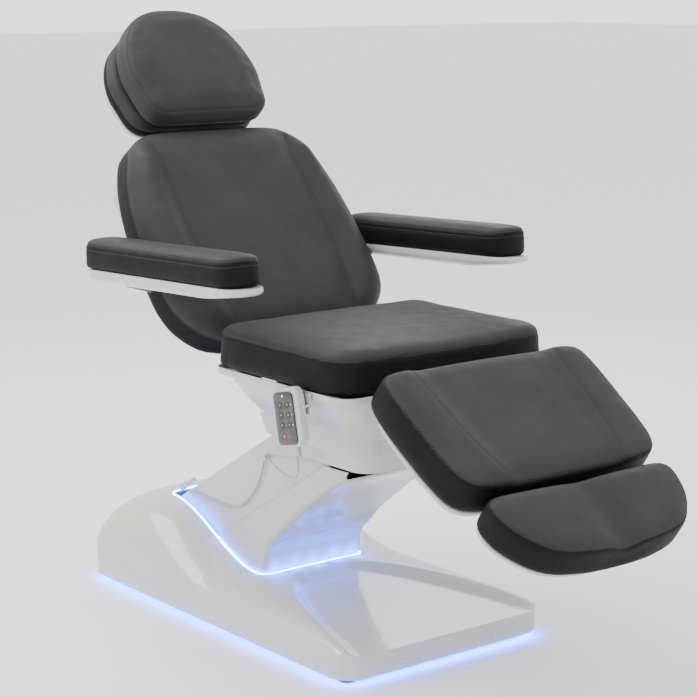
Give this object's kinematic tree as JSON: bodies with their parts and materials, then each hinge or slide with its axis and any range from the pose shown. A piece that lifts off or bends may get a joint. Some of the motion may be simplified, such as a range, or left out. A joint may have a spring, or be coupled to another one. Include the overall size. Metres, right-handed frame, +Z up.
{
  "type": "facial treatment bed",
  "caption": "Electric facial treatment bed: raised base, swinging column, padded seat, back, head, arm, leg and foot rests, and a corded handset.",
  "frame": {"origin": "on the floor, under the middle of the bed's overall length and width at rest", "axes": "+X towards the foot end, +Y to the sitter's left, +Z up"},
  "size_m": [1.7686, 0.892, 1.4455],
  "materials": {
    "leather": "satin",
    "white_shell": "gloss",
    "painted_steel": "satin",
    "bright_steel": "polished",
    "rubber": "matte",
    "motor_plastic": "matte",
    "light_strip": "gloss",
    "black_gloss": "gloss",
    "key_plastic": "satin",
    "red_key": "satin",
    "cord": "satin"
  },
  "bodies": {
    "base": {"base_cover": "white_shell", "base_frame": "painted_steel", "foot_front_left": "rubber", "foot_front_right": "rubber", "foot_rear_left": "rubber", "foot_rear_right": "rubber", "base_light_strip": "light_strip", "column_light": "light_strip", "screw_cap_left": "white_shell", "screw_cap_right": "white_shell", "mains_inlet": "motor_plastic", "lift_tower": "painted_steel"},
    "rear_arm": {"rear_link": "painted_steel", "rear_arm_cover": "white_shell", "cable_socket": "white_shell", "cord_clip": "white_shell", "cord_lower": "cord"},
    "front_arm": {"front_link": "painted_steel", "front_arm_cover": "white_shell"},
    "lift_motor": {"lift_motor": "motor_plastic"},
    "lift_rod": {"lift_rod": "bright_steel"},
    "seat": {"carrier_frame": "painted_steel", "carrier_cover": "white_shell", "seat_frame": "painted_steel", "seat_pan": "white_shell", "seat_cushion": "leather", "back_motor": "motor_plastic", "leg_motor": "motor_plastic", "handset_hook": "bright_steel", "cord_upper": "cord"},
    "back_rod": {"back_rod": "bright_steel"},
    "leg_rod": {"leg_rod": "bright_steel"},
    "backrest": {"back_frame": "painted_steel", "back_shell": "white_shell", "back_cushion": "leather", "armrest_bracket_left": "painted_steel", "armrest_bracket_right": "painted_steel"},
    "armrest_left": {"armrest_pad_left": "leather", "armrest_shell_left": "white_shell"},
    "armrest_right": {"armrest_pad_right": "leather", "armrest_shell_right": "white_shell"},
    "head_post": {"head_post": "bright_steel"},
    "headrest": {"head_shell": "white_shell", "head_pad": "leather"},
    "pillow": {"pillow": "leather"},
    "leg_rest": {"leg_frame": "painted_steel", "leg_shell": "white_shell", "leg_cushion": "leather"},
    "foot_rest": {"foot_frame": "painted_steel", "foot_shell": "white_shell", "foot_cushion": "leather"},
    "handset": {"handset_body": "white_shell", "handset_face": "black_gloss"},
    "key_up": {"key_up": "key_plastic"},
    "key_down": {"key_down": "key_plastic"},
    "key_back_up": {"key_back_up": "key_plastic"},
    "key_back_down": {"key_back_down": "key_plastic"},
    "key_leg_up": {"key_leg_up": "key_plastic"},
    "key_leg_down": {"key_leg_down": "key_plastic"},
    "key_stop": {"key_stop": "red_key"}
  },
  "joints": [
    {"name": "lift", "type": "hinge", "parent": "base", "child": "rear_arm", "pos_m": [-0.4623, 0, 0.19], "axis": [0, -1, 0], "range_deg": [-8, 17]},
    {"name": "front_arm_swing", "type": "hinge", "parent": "base", "child": "front_arm", "pos_m": [-0.3623, 0, 0.17], "axis": [0, -1, 0], "range_deg": [-8, 17]},
    {"name": "seat_level", "type": "hinge", "parent": "rear_arm", "child": "seat", "pos_m": [-0.03372, 0, 0.44752], "axis": [0, -1, 0], "range_deg": [-17, 8]},
    {"name": "lift_motor_swing", "type": "hinge", "parent": "base", "child": "lift_motor", "pos_m": [-0.2823, 0, 0.068], "axis": [0, -1, 0], "range_deg": [-6.29, 13.31]},
    {"name": "lift_rod_slide", "type": "slide", "parent": "lift_motor", "child": "lift_rod", "axis": [0.3323, 0, 0.9432], "range_m": [-0.02823, 0.05964]},
    {"name": "recline", "type": "hinge", "parent": "seat", "child": "backrest", "pos_m": [-0.1743, 0, 0.652], "axis": [0, 1, 0], "range_deg": [-48, 20]},
    {"name": "back_rod_slide", "type": "slide", "parent": "seat", "child": "back_rod", "axis": [-1, 0, 0], "range_m": [-0.05098, 0.02142]},
    {"name": "leg_swing", "type": "hinge", "parent": "seat", "child": "leg_rest", "pos_m": [0.3627, 0, 0.62], "axis": [0, -1, 0], "range_deg": [-45, 34.5]},
    {"name": "leg_rod_slide", "type": "slide", "parent": "seat", "child": "leg_rod", "axis": [1, 0, 0], "range_m": [-0.04978, 0.03823]},
    {"name": "armrest_left_turn", "type": "hinge", "parent": "backrest", "child": "armrest_left", "pos_m": [-0.3773, 0.34, 0.83], "axis": [0, 1, 0], "range_deg": [-85, 50]},
    {"name": "armrest_right_turn", "type": "hinge", "parent": "backrest", "child": "armrest_right", "pos_m": [-0.3773, -0.34, 0.83], "axis": [0, 1, 0], "range_deg": [-85, 50]},
    {"name": "headrest_slide", "type": "slide", "parent": "backrest", "child": "head_post", "axis": [-0.6361, 0, 0.7716], "range_m": [0, 0.08]},
    {"name": "headrest_tilt", "type": "hinge", "parent": "head_post", "child": "headrest", "pos_m": [-0.74557, 0, 1.15522], "axis": [0, 1, 0], "range_deg": [-35, 0]},
    {"name": "pillow_lift", "type": "slide", "parent": "headrest", "child": "pillow", "axis": [0.7716, 0, 0.6361], "range_m": [0, 0.1]},
    {"name": "foot_slide", "type": "slide", "parent": "leg_rest", "child": "foot_rest", "axis": [0.8241, 0, -0.5664], "range_m": [0, 0.12]},
    {"name": "handset_lift", "type": "slide", "parent": "seat", "child": "handset", "axis": [0, 0, 1], "range_m": [0, 0.03]},
    {"name": "key_up_press", "type": "slide", "parent": "handset", "child": "key_up", "axis": [0, 1, 0], "range_m": [0, 0.0008], "stiffness_N_per_m": 300, "springref_m": -0.001},
    {"name": "key_down_press", "type": "slide", "parent": "handset", "child": "key_down", "axis": [0, 1, 0], "range_m": [0, 0.0008], "stiffness_N_per_m": 300, "springref_m": -0.001},
    {"name": "key_back_up_press", "type": "slide", "parent": "handset", "child": "key_back_up", "axis": [0, 1, 0], "range_m": [0, 0.0008], "stiffness_N_per_m": 300, "springref_m": -0.001},
    {"name": "key_back_down_press", "type": "slide", "parent": "handset", "child": "key_back_down", "axis": [0, 1, 0], "range_m": [0, 0.0008], "stiffness_N_per_m": 300, "springref_m": -0.001},
    {"name": "key_leg_up_press", "type": "slide", "parent": "handset", "child": "key_leg_up", "axis": [0, 1, 0], "range_m": [0, 0.0008], "stiffness_N_per_m": 300, "springref_m": -0.001},
    {"name": "key_leg_down_press", "type": "slide", "parent": "handset", "child": "key_leg_down", "axis": [0, 1, 0], "range_m": [0, 0.0008], "stiffness_N_per_m": 300, "springref_m": -0.001},
    {"name": "key_stop_press", "type": "slide", "parent": "handset", "child": "key_stop", "axis": [0, 1, 0], "range_m": [0, 0.0008], "stiffness_N_per_m": 300, "springref_m": -0.001}
  ],
  "couplings": [
    {"joint": "front_arm_swing", "follows": "lift", "ratio": 1},
    {"joint": "seat_level", "follows": "lift", "ratio": -1},
    {"joint": "lift_motor_swing", "follows": "lift", "ratio": 0.78},
    {"joint": "lift_rod_slide", "follows": "lift", "m_per_rad": 0.2},
    {"joint": "back_rod_slide", "follows": "recline", "m_per_rad": 0.0605},
    {"joint": "leg_rod_slide", "follows": "leg_swing", "m_per_rad": 0.063}
  ]
}
